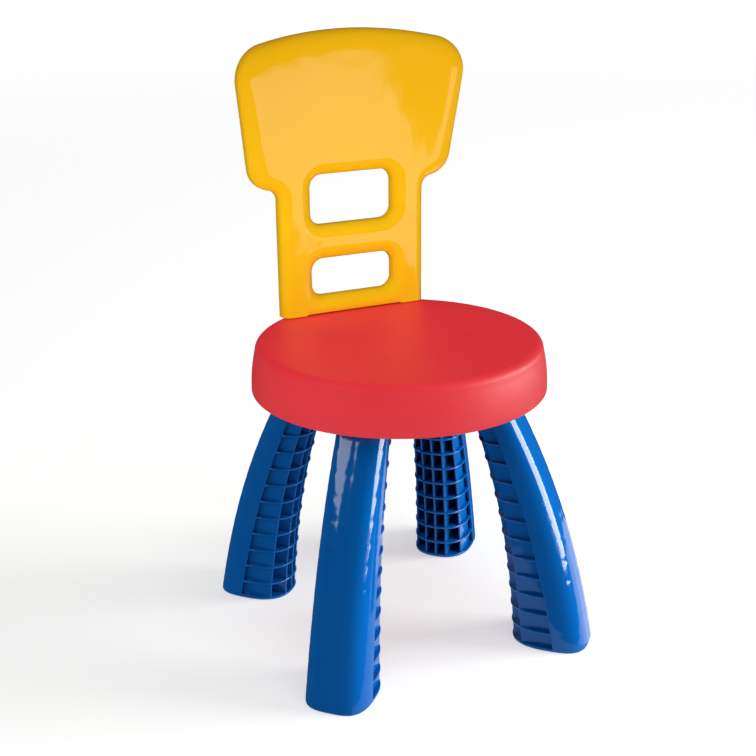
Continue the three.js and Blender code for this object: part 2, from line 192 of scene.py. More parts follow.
# backrest
BACK_THICKNESS = 14.0
BACK_MIDDLE = BACK_REAR - BACK_THICKNESS / 2
NECK_HALF = 77.0
SHOULDER_FILLET = 11.2
OUTLINE_POINTS = (30, 12, 22, 24, 26, 32)  # neck, fillet, lower corner, side, upper corner, half arch
PANEL_LOW_CENTRE = (82.0, 443.2)
PANEL_LOW_RADIUS = 24.9
PANEL_FLARE = radians(7.1)
PANEL_CORNER = 33.0
ARCH_RADIUS = 410.0
WING_BEND = 13.0
WING_REACH = 116.0
WING_START = 380  # the bend across the width grows from this height
WING_RISE = 150
NECK_BEND = 0.12  # the share of it that the neck has
WINDOW_HALF = 43.5
WINDOW_CORNER = 12.0
WINDOW_STEPS = 10
WINDOW_SPACING = 3
UPPER_WINDOW = (379.7, 429.2)
LOWER_WINDOW = (308.3, 346.0)
ROLL_DEPTH = 9.0  # how far back the rounded front edges fall
ROLL_STEPS = 11
NECK_ROLL = 10.0  # how wide they are on the neck
PANEL_ROLL = 18.0  # and on the panel
WINDOW_ROLL = 13.0
REAR_ROUNDING = 0.8
BAR_ROLL = 8.0  # the softer edge of the lower bar, over the seat
BAR_ROLL_DEPTH = 2.5
BAR_HALF = 52.0
BAR_FADE = 2.0
BAR_LIFT = 1.1  # the bar stands a little clear of the seat
POST_LIFT = 0.6  # and so do the posts beside it
SLIVER_AREA = 1e-3  # flat triangles on a straight edge are dropped
BASE_POINTS = 62
FRONT_GRID = 4.0
BAR_GRID = 2.0
FRONT_CLEAR = 1.3  # grid points keep this far from the edges
CAVITY_GRID = 5.0
CAVITY_CLEAR = 1.2
CAVITY_ROWS = (1.6, 3.6, 6.0, 9.0, 13.0)
WINDOW_ROWS_REACH = 8  # the rows round a window stop here
GRID_MARGIN = 2
PANEL_RIBS_X = (-76.0, -38.0, 0.0, 38.0, 76.0)
PANEL_RIBS_Z = (474.0, 519.0)
NECK_RIBS_X = (-47.0, 0.0, 47.0)
POST_RIBS_Z = (UPPER_WINDOW[1] + 3, UPPER_WINDOW[0] - 2, LOWER_WINDOW[1] + 2, LOWER_WINDOW[0] - 2)
POST_RIB_START = 2.5  # past the window's side
BACK_RIB_WALL = 2.0
BACK_RIB_ROUNDING = 0.5
BACK_RIB_INSET = 0.6  # how far they stay behind the rear rim
RIB_END = 1.6  # how far short of the outline the ribs end
RIB_ROOT = 1.5  # and of a window or the base
OVER_WINDOW = 10  # ribs this far inside the neck's side stand over the window
TONGUE_X = (52.0, 70.0)
TONGUE_Y = (101.5, 109.5)
TONGUE_ROOT = 2

LEG_ANGLES = {"front_left": -135, "front_right": -45, "rear_left": 135, "rear_right": 45}

# ---- camera, floor and lights
SENSOR_WIDTH = 36.0
CAMERA_LENS = 60.886
CAMERA_AZIMUTH = radians(-24.909)
CAMERA_ELEVATION = radians(19.806)
CAMERA_ROLL = radians(-0.602)
CAMERA_DISTANCE = 1216.0
CAMERA_TARGET = Vector((-18.17, 8.44, 249.8))

# in metres from here on
CLIP_NEAR, CLIP_FAR = 0.01, 200.0
FLOOR_RADIUS = 60.0
FLOOR_SEGMENTS = 96
FLOOR_GLOW = ((0.0, 0.50), (1.2, 0.54), (8.0, 0.84), (60.0, 0.90))
FLOOR_COLOUR = (0.885, 0.910, 0.890, 1)
LIGHTS_AIM = Vector((0, 0, 0.2))
SPOT_TINT = (0.7, 1.0, 1.0)
SPOT_SOFTNESS = 0.12
SKY_DIFFUSE, SKY_GLOSSY, SKY_CAMERA = 0.17, 0.03, 1.0

# the cards that glossy plastic sees on the floor: brightness and corners
CARD_HEIGHT = -0.001
CARDS = {
    "far_card": (1.6, ((1.27, -3.82), (0.96, -2.87), (0.79, -2.22), (0.66, -1.62), (0.585, -1.38),
                       (0.45, -1.10), (0.47, -0.9), (0.80, -0.90), (1.15, -1.29), (1.65, -1.85),
                       (2.60, -2.83), (3.20, -4.0), (2.60, -5.0), (1.60, -4.9))),
    "side_card": (1.1, ((0.14, -0.178), (0.60, -0.178), (0.60, 0.10), (0.14, 0.10))),
    "inner_card": (0.45, ((-0.12, -0.178), (0.139, -0.178), (0.139, 0.10), (-0.12, 0.10))),
}


# ---- meshes
# a quarter circle in four steps: the shares of its radius by which it draws in, and by which it falls short
QUARTER = [(1 - cos(angle), 1 - sin(angle)) for angle in np.radians((0, 30, 60, 90))]


def placed(name, data):
    """A new object of the scene."""
    obj = bpy.data.objects.new(name, data)
    bpy.context.scene.collection.objects.link(obj)
    return obj


def make_object(name, verts, faces):
    """A mesh object from points in millimetres."""
    mesh = bpy.data.meshes.new(name)
    mesh.from_pydata([tuple(v) for v in np.asarray(verts, float) * MM], [], faces)
    obj = placed(name, mesh)
    face_outwards(obj)
    return obj


def face_outwards(obj):
    work = bmesh.new()
    work.from_mesh(obj.data)
    bmesh.ops.remove_doubles(work, verts=work.verts, dist=1e-7)
    bmesh.ops.recalc_face_normals(work, faces=work.faces)
    work.to_mesh(obj.data)
    work.free()


def loft(loops):
    """Quads between closed loops of equal length, with the first and last loop filled."""
    count = len(loops[0])
    verts = np.concatenate(loops)
    faces = []
    for i in range(len(loops) - 1):
        for j in range(count):
            k = (j + 1) % count
            a, b = i * count, (i + 1) * count
            faces.append((a + j, a + k, b + k, b + j))
    faces.append(tuple(range(count))[::-1])
    faces.append(tuple(range(len(verts) - count, len(verts))))
    return verts, faces


def revolve(profile, segments):
    """A solid turned about Z from (radius, height) points that start and end on the axis."""
    middle = profile[1:-1]
    angles = np.linspace(0, 2 * pi, segments, endpoint=False)
    ring = np.stack([np.cos(angles), np.sin(angles)], axis=1)
    verts = [np.column_stack([ring * r, np.full(segments, z)]) for r, z in middle]
    verts = np.concatenate(verts + [np.array([[0, 0, profile[0][1]], [0, 0, profile[-1][1]]])])
    first, last = len(verts) - 2, len(verts) - 1
    faces = []
    for j in range(segments):
        k = (j + 1) % segments
        faces.append((first, j, k))
        base = (len(middle) - 1) * segments
        faces.append((last, base + k, base + j))
        for i in range(len(middle) - 1):
            a, b = i * segments, (i + 1) * segments
            faces.append((a + j, b + j, b + k, a + k))
    return verts, faces


def combine(base, others, operation):
    """Joins others to base, or cuts them from it, and removes them."""
    for other in others:
        modifier = base.modifiers.new("combine", "BOOLEAN")
        modifier.operation = operation
        modifier.solver = "MANIFOLD"
        modifier.object = other
        evaluated = base.evaluated_get(bpy.context.evaluated_depsgraph_get())
        result = bpy.data.meshes.new_from_object(evaluated)
        base.modifiers.clear()
        old = base.data
        base.data = result
        bpy.data.meshes.remove(old)
        bpy.data.objects.remove(other)
    return base


def join(base, *others):
    return combine(base, others, "UNION")


def cut(base, *others):
    return combine(base, others, "DIFFERENCE")


def turned(obj, degrees):
    obj.data.transform(Matrix.Rotation(radians(degrees), 4, "Z"))
    return obj


def shade(obj, angle=32):
    mesh = obj.data
    mesh.polygons.foreach_set("use_smooth", [True] * len(mesh.polygons))
    mesh.set_sharp_from_angle(angle=radians(angle))


def finished(obj, name, body, node, material):
    """Names a made piece, gives it its finish and lets it stand for its CAD node."""
    obj.name = name
    obj.data.name = name
    obj.data.materials.clear()
    obj.data.materials.append(material)
    shade(obj)
    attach(obj, body)
    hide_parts(node)


# ---- plain shapes with rounded edges
def block(x, y, z, rounding=0.0, steps=2):
    work = bmesh.new()
    bmesh.ops.create_cube(work, size=1)
    centre = np.array([(x[0] + x[1]) / 2, (y[0] + y[1]) / 2, (z[0] + z[1]) / 2])
    size = np.array([x[1] - x[0], y[1] - y[0], z[1] - z[0]])
    for vert in work.verts:
        vert.co = Vector((centre + size * np.array(vert.co)) * MM)
    if rounding:
        bmesh.ops.bevel(work, geom=work.edges[:], offset=rounding * MM, segments=steps,
                        profile=0.5, affect="EDGES", clamp_overlap=True)
    mesh = bpy.data.meshes.new("block")
    work.to_mesh(mesh)
    work.free()
    return placed("block", mesh)


def rod(x, y, radius, low, high, rounding=0.0, segments=40):
    """An upright rod; rounding softens its lower edge."""
    edge = QUARTER if rounding else QUARTER[:1]
    profile = [(radius - rounding * draw_in, low + rounding * rise) for rise, draw_in in edge]
    verts, faces = revolve([(0, low)] + profile + [(radius, high), (0, high)], segments)
    return make_object("rod", verts + np.array([x, y, 0]), faces)


def rounded_rectangle(x, y, corner, steps=6):
    points = []
    centres = [(x[1] - corner, y[0] + corner, -90), (x[1] - corner, y[1] - corner, 0),
               (x[0] + corner, y[1] - corner, 90), (x[0] + corner, y[0] + corner, 180)]
    for cx, cy, start in centres:
        for angle in np.radians(np.linspace(start, start + 90, steps + 1)):
            points.append((cx + corner * cos(angle), cy + corner * sin(angle)))
    return np.array(points)


def at_height(points, z):
    return np.column_stack([points, np.full(len(points), z)])


def prism(outline, low, high, round_low=0.0, round_high=0.0):
    """An upright prism of outline(inset), with its lower and upper edges rounded."""
    loops = []
    for draw_in, short in QUARTER[::-1] if round_low else QUARTER[:1]:
        loops.append(at_height(outline(round_low * draw_in), low + round_low * short))
    for draw_in, short in QUARTER if round_high else QUARTER[:1]:
        loops.append(at_height(outline(round_high * draw_in), high - round_high * short))
    return make_object("prism", *loft(loops))


# ---- leg
def polynomial(coefficients, t):
    return sum(c * t ** i for i, c in enumerate(coefficients))


def section(z):
    t = z / SEAT_RIM
    return polynomial(LEG_CENTRE, t), polynomial(LEG_HALF_DEPTH, t), polynomial(LEG_HALF_WIDTH, t)


def in_leg(points, z):
    """Points of the section at height z, in the leg's own frame."""
    return np.column_stack([section(z)[0] + points[:, 0], points[:, 1], np.full(len(points), z)])


def signed_power(values, exponent):
    return np.sign(values) * np.abs(values) ** exponent


def smooth_step(values, start, width):
    share = np.clip((values - start) / width, 0, 1)
    return share * share * (3 - 2 * share)


def section_outline(z):
    """The leg's section at height z as (u, v) points from its centre: u points outwards."""
    _, depth, width = section(z)
    angles = np.linspace(-pi, pi, SECTION_POINTS, endpoint=False)
    exponent = np.where(np.cos(angles) >= 0, 2 / OUTER_POWER, 2 / INNER_POWER)
    u = depth * signed_power(np.cos(angles), exponent)
    v = width * signed_power(np.sin(angles), exponent)
    return np.column_stack([u, v])


def resample(points, count, closed):
    """Evenly spaced points along a polyline."""
    path = np.vstack([points, points[:1]]) if closed else points
    steps = np.hypot(*np.diff(path, axis=0).T)
    length = np.concatenate([[0], np.cumsum(steps)])
    at = np.linspace(0, length[-1], count + 1)[:-1] if closed else np.linspace(0, length[-1], count)
    return np.column_stack([np.interp(at, length, path[:, i]) for i in range(2)])


def outward_normals(points, closed):
    if closed:
        tangent = np.roll(points, -1, axis=0) - np.roll(points, 1, axis=0)
    else:
        tangent = np.gradient(points, axis=0)
    tangent /= np.hypot(*tangent.T)[:, None]
    return np.column_stack([tangent[:, 1], -tangent[:, 0]])


def arm_edge(z):
    """Where the smooth outer shell stops, out from the section's centre."""
    return ARM_EDGE_LOW * max(0.0, 1 - z / ARM_EDGE_HIGH)


def foot_inset(z):
    """How far the rounded lower edge of the foot draws in."""
    if z >= FOOT_ROUNDING:
        return 0.0
    return FOOT_ROUNDING - sqrt(FOOT_ROUNDING ** 2 - (FOOT_ROUNDING - z) ** 2)


def sink_marks(z, v):
    """The faint hollows that the ribs behind leave in the outer face."""
    nearest = abs(z - LEG_RIB_PITCH * np.round(z / LEG_RIB_PITCH))
    level = exp(-(nearest / SINK_REACH) ** 2)
    offsets = (-INNER_UPRIGHT, 0, INNER_UPRIGHT)
    upright = sum(np.exp(-((v - offset) / SINK_REACH) ** 2) for offset in offsets)
    return SINK_DEPTH * (level + UPRIGHT_SINK * upright)


def shell_loop(z):
    """Closed loop round the C-shaped outer shell at height z, in the leg's own frame."""
    outline = section_outline(z)
    outer = resample(outline[outline[:, 0] >= arm_edge(z)], SHELL_POINTS, closed=False)
    normal = outward_normals(outer, closed=False)
    face = outer - normal * (foot_inset(z) + sink_marks(z, outer[:, 1]))[:, None]
    inner = outer - normal * WALL
    loop = [face[1:-1]]
    for end, along in ((-1, 1), (0, -1)):
        n = normal[end]
        t = np.array([-n[1], n[0]]) * along
        turn = []
        for draw_in, short in QUARTER:
            turn.append(face[end] - n * EDGE_SOFT * draw_in - t * EDGE_SOFT * short)
        for draw_in, short in QUARTER[::-1]:
            turn.append(inner[end] + n * EDGE_SOFT * draw_in - t * EDGE_SOFT * short)
        if end == -1:
            loop += [np.array(turn), inner[1:-1][::-1]]
        else:
            loop.append(np.array(turn[::-1]))
    return in_leg(np.vstack(loop), z)


def leg_shell():
    regular = np.arange(1, ceil(SHOULDER / LEG_RIB_PITCH * SHELL_STEPS)) * LEG_RIB_PITCH / SHELL_STEPS
    regular = regular[(regular > FOOT_ROUNDING) & (regular < SHOULDER - LAST_LOOP)]
    foot = FOOT_ROUNDING * (1 - np.cos(np.radians((0, 30, 60, 90))))
    heights = np.concatenate([foot, regular, [SHOULDER]])
    return make_object("shell", *loft([shell_loop(z) for z in heights]))


def plate_loop(z, inset):
    """The outline of a level rib: flush with the section inside, buried in the shell outside."""
    outline = resample(section_outline(z), PLATE_POINTS, closed=True)
    normal = outward_normals(outline, closed=True)
    buried = BURIED_DEPTH * smooth_step(outline[:, 0] - arm_edge(z), BURIED_START, BURIED_WIDTH)
    return in_leg(outline - normal * np.maximum(inset, buried)[:, None], z)


def level_plate(low, high, round_low, round_high):
    loops = [plate_loop(low + round_low * short, round_low * draw_in) for draw_in, short in QUARTER[::-1]]
    loops += [plate_loop(high - round_high * short, round_high * draw_in) for draw_in, short in QUARTER]
    return make_object("plate", *loft(loops))


def face_distance(z, v, inset, exponent, side):
    """How far out the section's face lies, beside its middle by v."""
    _, depth, width = section(z)
    share = min(1.0, abs(v) / (width - inset))
    return side * (depth - inset) * (1 - share ** exponent) ** (1 / exponent)


def upright_plate(offset, share):
    """An upright rib, beside the leg's middle by an offset or by a share of its half width."""
    half = LEG_RIB_WALL / 2
    loops = []
    for z in np.linspace(UPRIGHT_LOW, SHOULDER - OVERLAP, UPRIGHT_STEPS):
        v = offset + share * section(z)[2]
        inner = face_distance(z, v, UPRIGHT_INSET, INNER_POWER, -1)
        outer = face_distance(z, v, WALL * UPRIGHT_BURIED, OUTER_POWER, 1)
        points = [(outer, v + half)]
        points += [(inner + EDGE_SOFT * rise, v + half - EDGE_SOFT * short) for rise, short in QUARTER[::-1]]
        points += [(inner + EDGE_SOFT * rise, v - half + EDGE_SOFT * short) for rise, short in QUARTER]
        points.append((outer, v - half))
        loops.append(in_leg(np.array(points), z))
    return make_object("upright", *loft(loops))


def spigot_outline(grow, corner):
    x = (SPIGOT_CENTRE - SPIGOT_HALF_DEPTH - grow, SPIGOT_CENTRE + SPIGOT_HALF_DEPTH + grow)
    y = (-SPIGOT_HALF_WIDTH - grow, SPIGOT_HALF_WIDTH + grow)
    return rounded_rectangle(x, y, corner)


def spigot():
    tube = prism(lambda inset: spigot_outline(-inset, SPIGOT_CORNER - inset),
                 SHOULDER - OVERLAP, SPIGOT_TOP, round_high=SPIGOT_ROUNDING)
    hollow = prism(lambda inset: spigot_outline(-WALL, SPIGOT_INNER_CORNER), SHOULDER, SPIGOT_TOP + OVERLAP)
    return cut(tube, hollow)


def ear():
    low = SHOULDER - SHOULDER_WALL
    reach = SPIGOT_CENTRE - SPIGOT_HALF_DEPTH
    half = EAR_RADIUS - HAIR
    tab = rod(EAR_CENTRE, 0, EAR_RADIUS, low, SHOULDER, rounding=EDGE_SOFT)
    join(tab, block((EAR_CENTRE, reach), (-half, half), (low + HAIR, SHOULDER - HAIR)))
    return cut(tab, rod(EAR_CENTRE, 0, CLEARANCE_HOLE, low - OVERLAP, SHOULDER + OVERLAP))


def leg():
    """One leg in its own frame: +X points away from the chair's axis."""
    body = leg_shell()
    parts = [level_plate(0, WALL, FOOT_ROUNDING, FLAT_ROUNDING)]
    for k in range(1, LEG_RIB_COUNT + 1):
        z = k * LEG_RIB_PITCH
        parts.append(level_plate(z - LEG_RIB_WALL / 2, z + LEG_RIB_WALL / 2, EDGE_SOFT, EDGE_SOFT))
    parts.append(level_plate(SHOULDER - SHOULDER_WALL, SHOULDER, EDGE_SOFT, FLAT_ROUNDING))
    parts += [upright_plate(offset, 0) for offset in (-INNER_UPRIGHT, 0, INNER_UPRIGHT)]
    parts += [upright_plate(0, side * OUTER_UPRIGHT) for side in (-1, 1)]
    parts += [ear(), spigot()]
    return join(body, *parts)


# ---- screws
def ring(radius, angles, z):
    return np.column_stack([radius * np.cos(angles), radius * np.sin(angles), np.full(len(angles), z)])


def screw(length):
    """A pan-head screw pointing up, with the seat of its head at the origin."""
    turns = int((length - THREAD_END) / THREAD_PITCH)
    rows = turns * THREAD_STEPS
    low, high = THREAD_START, THREAD_START + turns * THREAD_PITCH
    angles = np.linspace(0, 2 * pi, SHANK_SEGMENTS, endpoint=False)
    loops = [ring(PLAIN_RADIUS, angles, z) for z in PLAIN_ENDS]
    for i in range(rows + 1):
        z = low + (high - low) * i / rows
        taper = min(1.0, (length - z) / TIP_TAPER)
        phase = (z / THREAD_PITCH - angles / (2 * pi)) % 1
        crest = np.clip(1 - np.abs(phase - 0.5) * 4, 0, 1)
        core = (SHANK_RADIUS - THREAD_DEPTH) * (TIP_SHARE + (1 - TIP_SHARE) * taper)
        loops.append(ring(core + THREAD_DEPTH * crest * taper, angles, z))
    loops.append(ring(TIP_RADIUS, angles, length))
    shank = make_object("shank", *loft(loops))
    profile = [(0, 0.0), (HEAD_RADIUS - HEAD_CHAMFER, 0.0)]
    profile += [(HEAD_RADIUS, -HEAD_CHAMFER), (HEAD_RADIUS, -HEAD_SIDE)]
    for angle in np.radians(np.linspace(*HEAD_DOME)):
        radius = HEAD_RADIUS * cos(angle) ** HEAD_FULLNESS
        profile.append((radius, -HEAD_SIDE - (HEAD_HEIGHT - HEAD_SIDE) * sin(angle)))
    profile.append((0, -HEAD_HEIGHT))
    head = make_object("head", *revolve(profile, HEAD_SEGMENTS))
    long = (-CROSS_HALF_LENGTH, CROSS_HALF_LENGTH)
    narrow = (-CROSS_HALF_WIDTH, CROSS_HALF_WIDTH)
    deep = (-HEAD_HEIGHT - OVERLAP, CROSS_FLOOR)
    slots = [block(long, narrow, deep, CROSS_ROUNDING), block(narrow, long, deep, CROSS_ROUNDING)]
    return cut(join(head, shank), *slots)


# ---- seat
def skirt_radius(z):
    share = (z - SEAT_RIM) / (SEAT_TOP - SEAT_RIM)
    return RIM_RADIUS + (TOP_RADIUS - RIM_RADIUS) * share + 4 * SKIRT_BULGE * share * (1 - share)


def seat_profile(inset, top):
    """From the axis over the rounded edge and down the skirt, as (radius, height)."""
    radius = EDGE_RADIUS - inset * 0.5
    start = skirt_radius(top - radius) - inset - radius
    points = [(start * share, top) for share in TOP_RINGS]
    for angle in np.linspace(pi / 2, 0, EDGE_STEPS):
        points.append((start + radius * cos(angle), top - radius + radius * sin(angle)))
    for z in np.linspace(top - radius, SEAT_RIM + RIM_ROUNDING, SKIRT_STEPS + 1)[1:]:
        points.append((skirt_radius(z) - inset, z))
    return points


def rim_points():
    corner = RIM_RADIUS - RIM_ROUNDING
    points = []
    for angle in np.radians((22.5, 45, 67.5, 90)):
        height = SEAT_RIM + RIM_ROUNDING * (1 - sin(angle))
        points.append((corner + RIM_ROUNDING * cos(angle), height))
    return points


def seat_envelope():
    points = seat_profile(0, SEAT_TOP) + rim_points() + [(0, SEAT_RIM)]
    return make_object("envelope", *revolve(points, SEAT_SEGMENTS))


def seat_shell():
    inside = seat_profile(WALL, SEAT_TOP - TOP_WALL)[::-1]
    edge = [(RIM_RADIUS - WALL + RIM_CHAMFER, SEAT_RIM), (RIM_RADIUS - WALL, SEAT_RIM + RIM_CHAMFER)]
    points = seat_profile(0, SEAT_TOP) + rim_points() + edge + inside
    return make_object("seat", *revolve(points, SEAT_SEGMENTS))


def tongue_box(side, grow):
    x = sorted((side * (TONGUE_X[0] - grow), side * (TONGUE_X[1] + grow)))
    return x, (TONGUE_Y[0] - grow, TONGUE_Y[1] + grow)


def tongue_centre(side):
    return side * sum(TONGUE_X) / 2, sum(TONGUE_Y) / 2


def seat():
    low, high = SHOULDER + GAP, SEAT_TOP - OVERLAP
    rib_low = SEAT_TOP - TOP_WALL - SEAT_RIB_DEPTH
    rib_sides = (-SEAT_RIB_WALL / 2, SEAT_RIB_WALL / 2)
    rib_ends = (HUB_RADIUS - OVERLAP, RIM_RADIUS - SEAT_RIB_END)
    web_ends = (EAR_CENTRE, SPIGOT_CENTRE - SPIGOT_HALF_DEPTH - OVERLAP)
    bore = HUB_RADIUS - SEAT_RIB_WALL
    under = [cut(rod(0, 0, HUB_RADIUS, rib_low, high, EDGE_SOFT, HUB_SEGMENTS),
                 rod(0, 0, bore, rib_low - OVERLAP, high - HUB_ROOF, 0, HUB_SEGMENTS))]
    for i in range(SEAT_RIB_COUNT):
        rib = block(rib_ends, rib_sides, (rib_low, high), SEAT_RIB_ROUNDING)
        under.append(turned(rib, i * 360 / SEAT_RIB_COUNT))
    removed = []
    for angle in LEG_ANGLES.values():
        socket = prism(lambda inset: spigot_outline(GAP + WALL - inset, SPIGOT_CORNER + WALL - inset),
                       low, high, round_low=SOCKET_ROUNDING)
        web = block(web_ends, rib_sides, (low + WEB_LIFT, high), WEB_ROUNDING)
        boss = rod(EAR_CENTRE, 0, BOSS_RADIUS, low, high, EDGE_SOFT)
        under += [turned(part, angle) for part in (socket, boss, web)]
        hollow = prism(lambda inset: spigot_outline(GAP, SPIGOT_CORNER), low - OVERLAP, SEAT_TOP - TOP_WALL)
        pilot = rod(EAR_CENTRE, 0, PILOT_HOLE, low - OVERLAP, LEG_SCREW_TIP + PILOT_EXTRA)
        removed += [turned(part, angle) for part in (hollow, pilot)]
    for side in (-1, 1):
        under.append(block(*tongue_box(side, GAP + WALL), (POCKET_FLOOR - WALL, high), SOCKET_ROUNDING))
        removed.append(block(*tongue_box(side, GAP), (POCKET_FLOOR, SEAT_TOP + POCKET_RISE), POCKET_ROUNDING))
        screw_hole = (POCKET_FLOOR - WALL - OVERLAP, POCKET_FLOOR + OVERLAP)
        removed.append(rod(*tongue_centre(side), CLEARANCE_HOLE, *screw_hole))
    added = combine(join(*under), [seat_envelope()], "INTERSECT")
    return cut(join(seat_shell(), added), *removed)


# ---- backrest
def arc(centre, radius, start, end, count):
    angles = np.linspace(start, end, count)
    return np.column_stack([centre[0] + radius * np.cos(angles), centre[1] + radius * np.sin(angles)])


def panel_corner_centre():
    """Centre of the panel's upper corner: its arc touches the side line and the arch."""
    s, c = sin(PANEL_FLARE), cos(PANEL_FLARE)
    side = c * PANEL_LOW_CENTRE[0] - s * PANEL_LOW_CENTRE[1] + PANEL_LOW_RADIUS - PANEL_CORNER
    reach = ARCH_RADIUS - PANEL_CORNER
    arch_z = ARCH_TOP - ARCH_RADIUS
    k = side + s * arch_z
    rise = -k * s + sqrt(k * k * s * s + reach * reach * c * c - k * k)
    return (k + s * rise) / c, arch_z + rise


def widening(start, end, count):
    return start + (end - start) * np.linspace(0, 1, count)


def back_outline(bottom):
    """The backrest's front view, from its lower left corner over the top to its lower right one.
    Returns the points, their outward normals and how wide the front edge is rounded at each."""
    fillet_x = NECK_HALF + SHOULDER_FILLET
    across = fillet_x - PANEL_LOW_CENTRE[0]
    between = SHOULDER_FILLET + PANEL_LOW_RADIUS
    fillet_z = PANEL_LOW_CENTRE[1] - sqrt(between ** 2 - across ** 2)
    turn = atan2(PANEL_LOW_CENTRE[1] - fillet_z, -across)
    corner = panel_corner_centre()
    arch_z = ARCH_TOP - ARCH_RADIUS
    crown = atan2(corner[1] - arch_z, corner[0])
    pieces, normals, rolls = [], [], []

    def add(points, centre, outward, roll):
        pieces.append(points)
        away = (points - np.array(centre)) * outward
        normals.append(away / np.hypot(*away.T)[:, None])
        rolls.append(np.full(len(points), roll) if np.isscalar(roll) else roll)

    def straight(points, normal, roll):
        pieces.append(points)
        normals.append(np.tile(normal, (len(points), 1)))
        rolls.append(np.full(len(points), roll))

    neck_points, fillet_points, low_points, side_points, corner_points, arch_points = OUTLINE_POINTS
    heights = np.linspace(bottom, fillet_z, neck_points, endpoint=False)
    straight(np.column_stack([np.full(len(heights), NECK_HALF), heights]), [1.0, 0.0], NECK_ROLL)
    middle = (NECK_ROLL + PANEL_ROLL) / 2
    fillet = (fillet_x, fillet_z)
    add(arc(fillet, SHOULDER_FILLET, pi, turn, fillet_points)[:-1],
        fillet, -1, widening(NECK_ROLL, middle, fillet_points)[:-1])
    add(arc(PANEL_LOW_CENTRE, PANEL_LOW_RADIUS, turn - pi, -PANEL_FLARE, low_points),
        PANEL_LOW_CENTRE, 1, widening(middle, PANEL_ROLL, low_points))
    low_end = pieces[-1][-1]
    corner_arc = arc(corner, PANEL_CORNER, -PANEL_FLARE, crown, corner_points)
    side = low_end + (corner_arc[0] - low_end) * np.linspace(0, 1, side_points)[1:-1, None]
    straight(side, [cos(PANEL_FLARE), -sin(PANEL_FLARE)], PANEL_ROLL)
    add(corner_arc[:-1], corner, 1, PANEL_ROLL)
    add(arc((0, arch_z), ARCH_RADIUS, crown, pi / 2, arch_points), (0, arch_z), 1, PANEL_ROLL)
    points, normal, roll = np.vstack(pieces), np.vstack(normals), np.concatenate(rolls)
    flip = np.array([-1.0, 1.0])
    points = np.vstack([points * flip, points[-2::-1]])
    normal = np.vstack([normal * flip, normal[-2::-1]])
    return points, normal, np.concatenate([roll, roll[-2::-1]])


def window_outline(window):
    """A window's edge, its normals towards the plastic, and the width of its rounded edge."""
    points = rounded_rectangle((-WINDOW_HALF, WINDOW_HALF), window, WINDOW_CORNER, WINDOW_STEPS)
    fine = []
    for a, b in zip(points, np.roll(points, -1, axis=0)):
        count = max(1, int(np.hypot(*(b - a)) / WINDOW_SPACING))
        fine += [a + (b - a) * i / count for i in range(count)]
    points = np.array(fine)
    return points, outward_normals(points, closed=True), np.full(len(points), WINDOW_ROLL)


def wing(x, z):
    """How far forward the panel bends at its sides."""
    rise = smooth_step(z, WING_START, WING_RISE)
    return WING_BEND * (NECK_BEND + (1 - NECK_BEND) * rise) * (x / WING_REACH) ** 2


def middle_plane(x, z):
    return BACK_MIDDLE - wing(x, z)


def edge_distance(points, edge):
    """Distance of each point from a polyline, and the nearest vertex."""
    gaps = np.hypot(points[:, None, 0] - edge[None, :, 0], points[:, None, 1] - edge[None, :, 1])
    nearest = gaps.argmin(axis=1)
    return gaps[np.arange(len(points)), nearest], nearest


def roll_back(distance, width):
    """How far the front surface falls back at a distance from an edge rounded over a width."""
    share = 1 - np.clip(distance / width, 0, 1)
    return ROLL_DEPTH * (1 - np.sqrt(np.maximum(0, 1 - share ** 2)))


def bar_roll(points, bottom):
    """The softened lower edge of the bar between the two posts."""
    x, z = points[:, 0], points[:, 1]
    inside = np.clip((BAR_HALF - np.abs(x)) / BAR_FADE, 0, 1)
    share = np.clip(1 - (z - bottom) / BAR_ROLL, 0, 1)
    return inside * BAR_ROLL_DEPTH * share ** 2


def triangulated(constraints, extra, inside):
    """Delaunay triangles over closed constraint loops and extra points, where inside() holds."""
    verts = [Vector(p) for loop in constraints for p in loop]
    edges, start = [], 0
    for loop in constraints:
        edges += [(start + i, start + (i + 1) % len(loop)) for i in range(len(loop))]
        start += len(loop)
    verts += [Vector(p) for p in extra]
    out, _, faces, *_ = delaunay_2d_cdt(verts, edges, [], 0, 1e-6)
    flat = np.array([tuple(v) for v in out])

    def has_area(face):
        a, b, c = flat[list(face)]
        return abs((b[0] - a[0]) * (c[1] - a[1]) - (b[1] - a[1]) * (c[0] - a[0])) > SLIVER_AREA

    kept = [f for f in faces if has_area(f) and inside(flat[list(f)].mean(axis=0))]
    return flat, kept


def in_polygon(point, polygon):
    x, y = point
    a, b = polygon, np.roll(polygon, -1, axis=0)
    crosses = (a[:, 1] > y) != (b[:, 1] > y)
    with np.errstate(divide="ignore", invalid="ignore"):
        at = (b[:, 0] - a[:, 0]) * (y - a[:, 1]) / (b[:, 1] - a[:, 1]) + a[:, 0]
    return bool(np.count_nonzero(crosses & (x < at)) % 2)


def filled(loops, scatter, clear):
    """Triangles that fill the first loop but not the others, over scattered points clear of them all."""
    def inside(point):
        return in_polygon(point, loops[0]) and not any(in_polygon(point, hole) for hole in loops[1:])

    far = edge_distance(scatter, np.vstack(loops))[0] > clear
    scatter = np.array([p for p, ok in zip(scatter, far) if ok and inside(p)])
    return triangulated(loops, scatter, inside)


def base_line(loop, height):
    """Points along a level line, from under a loop's last point to under its first."""
    x = np.linspace(loop[-1][0], loop[0][0], BASE_POINTS)[1:-1]
    return np.column_stack([x, np.full(len(x), height)])


